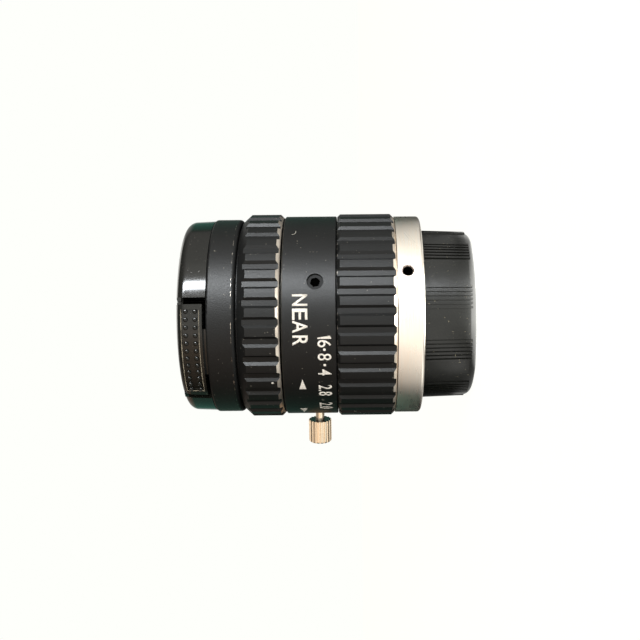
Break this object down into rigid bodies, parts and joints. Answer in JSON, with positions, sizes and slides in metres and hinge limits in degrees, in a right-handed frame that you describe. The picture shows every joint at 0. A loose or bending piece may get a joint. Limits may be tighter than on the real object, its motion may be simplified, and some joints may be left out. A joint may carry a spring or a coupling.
{
  "type": "c-mount machine vision lens",
  "caption": "Manual fixed focal length machine vision lens with a C-mount thread, ribbed focus and iris rings, an iris lock screw and front and rear caps.",
  "frame": {"origin": "on the optical axis in the flange face of the C-mount", "axes": "+Z along the optical axis towards the front of the lens, -Y towards the focus scale side"},
  "size_m": [0.0391, 0.0336, 0.0466],
  "materials": {
    "turned_aluminium": "satin",
    "matte_black_anodised": "matte",
    "nickel_steel": "polished",
    "dark_steel": "satin",
    "gloss_black_plastic": "gloss",
    "matte_black_plastic": "matte",
    "coated_glass": "polished",
    "spring_steel": "satin"
  },
  "bodies": {
    "root": {"mount": "turned_aluminium", "mount_set_screws": "dark_steel", "main_barrel": "matte_black_anodised", "barrel_grub_screws": "dark_steel", "focus_keeper_ring": "matte_black_anodised", "rear_cell": "matte_black_anodised", "outer_glass": "coated_glass", "rear_spacer": "matte_black_anodised", "rear_glass": "coated_glass", "rear_lock_ring": "matte_black_anodised", "iris_housing": "matte_black_anodised", "iris_keeper_ring": "matte_black_anodised"},
    "iris_ring": {"iris_ring": "matte_black_anodised", "iris_drive_pin": "nickel_steel", "iris_actuator_ring": "matte_black_anodised"},
    "focus_ring": {"focus_ring": "matte_black_anodised"},
    "front_barrel": {"front_barrel": "matte_black_anodised", "focus_cam_pin": "nickel_steel", "inner_glass": "coated_glass", "inner_spacer": "matte_black_anodised", "middle_glass": "coated_glass", "front_spacer": "matte_black_anodised", "front_glass": "coated_glass", "front_lock_ring": "matte_black_anodised"},
    "iris_lock_screw": {"iris_lock_screw": "nickel_steel"},
    "front_cap": {"front_cap_shell": "gloss_black_plastic", "front_cap_back_plate": "gloss_black_plastic", "latch_spring_a": "spring_steel", "latch_spring_b": "spring_steel"},
    "front_cap_latch_a": {"front_cap_latch_a": "gloss_black_plastic"},
    "front_cap_latch_b": {"front_cap_latch_b": "gloss_black_plastic"},
    "rear_cap": {"rear_cap": "matte_black_plastic"},
    "iris_blade_1": {"iris_blade_1": "dark_steel"},
    "iris_blade_2": {"iris_blade_2": "dark_steel"},
    "iris_blade_3": {"iris_blade_3": "dark_steel"},
    "iris_blade_4": {"iris_blade_4": "dark_steel"},
    "iris_blade_5": {"iris_blade_5": "dark_steel"},
    "iris_blade_6": {"iris_blade_6": "dark_steel"}
  },
  "joints": [
    {"name": "focus_turn", "type": "hinge", "parent": "root", "child": "focus_ring", "pos_m": [0, 0, 0.0258], "axis": [0, 0, 1], "range_deg": [0, 200]},
    {"name": "front_barrel_slide", "type": "slide", "parent": "root", "child": "front_barrel", "axis": [0, 0, 1], "range_m": [0, 0.0016]},
    {"name": "iris_turn", "type": "hinge", "parent": "root", "child": "iris_ring", "pos_m": [0, 0, 0.009], "axis": [0, 0, 1], "range_deg": [0, 52]},
    {"name": "iris_blade_1_swing", "type": "hinge", "parent": "root", "child": "iris_blade_1", "pos_m": [0.0106, 0, 0.0075], "axis": [0, 0, 1], "range_deg": [0, 26.7]},
    {"name": "iris_blade_2_swing", "type": "hinge", "parent": "root", "child": "iris_blade_2", "pos_m": [0.0053, 0.00918, 0.0075], "axis": [0, 0, 1], "range_deg": [0, 26.7]},
    {"name": "iris_blade_3_swing", "type": "hinge", "parent": "root", "child": "iris_blade_3", "pos_m": [-0.0053, 0.00918, 0.0075], "axis": [0, 0, 1], "range_deg": [0, 26.7]},
    {"name": "iris_blade_4_swing", "type": "hinge", "parent": "root", "child": "iris_blade_4", "pos_m": [-0.0106, 0, 0.0075], "axis": [0, 0, 1], "range_deg": [0, 26.7]},
    {"name": "iris_blade_5_swing", "type": "hinge", "parent": "root", "child": "iris_blade_5", "pos_m": [-0.0053, -0.00918, 0.0075], "axis": [0, 0, 1], "range_deg": [0, 26.7]},
    {"name": "iris_blade_6_swing", "type": "hinge", "parent": "root", "child": "iris_blade_6", "pos_m": [0.0053, -0.00918, 0.0075], "axis": [0, 0, 1], "range_deg": [0, 26.7]},
    {"name": "iris_lock_screw_turn", "type": "hinge", "parent": "root", "child": "iris_lock_screw", "pos_m": [-0.01819, 0.00387, 0.0168], "axis": [-0.9781, 0.2079, 0], "range_deg": [0, 180]},
    {"name": "rear_cap_off", "type": "slide", "parent": "root", "child": "rear_cap", "axis": [0, 0, -1], "range_m": [0, 0.012]},
    {"name": "front_cap_off", "type": "slide", "parent": "front_barrel", "child": "front_cap", "axis": [0, 0, 1], "range_m": [0, 0.015]},
    {"name": "front_cap_latch_a_press", "type": "slide", "parent": "front_cap", "child": "front_cap_latch_a", "axis": [0.3907, 0.9205, 0], "range_m": [0, 0.001], "stiffness_N_per_m": 900, "deforming": ["latch_spring_a"]},
    {"name": "front_cap_latch_b_press", "type": "slide", "parent": "front_cap", "child": "front_cap_latch_b", "axis": [-0.3907, -0.9205, 0], "range_m": [0, 0.001], "stiffness_N_per_m": 900, "deforming": ["latch_spring_b"]}
  ],
  "couplings": [
    {"joint": "focus_turn", "follows": "front_barrel_slide", "rad_per_m": 2181.7},
    {"joint": "iris_blade_1_swing", "follows": "iris_turn", "ratio": 0.51346},
    {"joint": "iris_blade_2_swing", "follows": "iris_turn", "ratio": 0.51346},
    {"joint": "iris_blade_3_swing", "follows": "iris_turn", "ratio": 0.51346},
    {"joint": "iris_blade_4_swing", "follows": "iris_turn", "ratio": 0.51346},
    {"joint": "iris_blade_5_swing", "follows": "iris_turn", "ratio": 0.51346},
    {"joint": "iris_blade_6_swing", "follows": "iris_turn", "ratio": 0.51346}
  ]
}
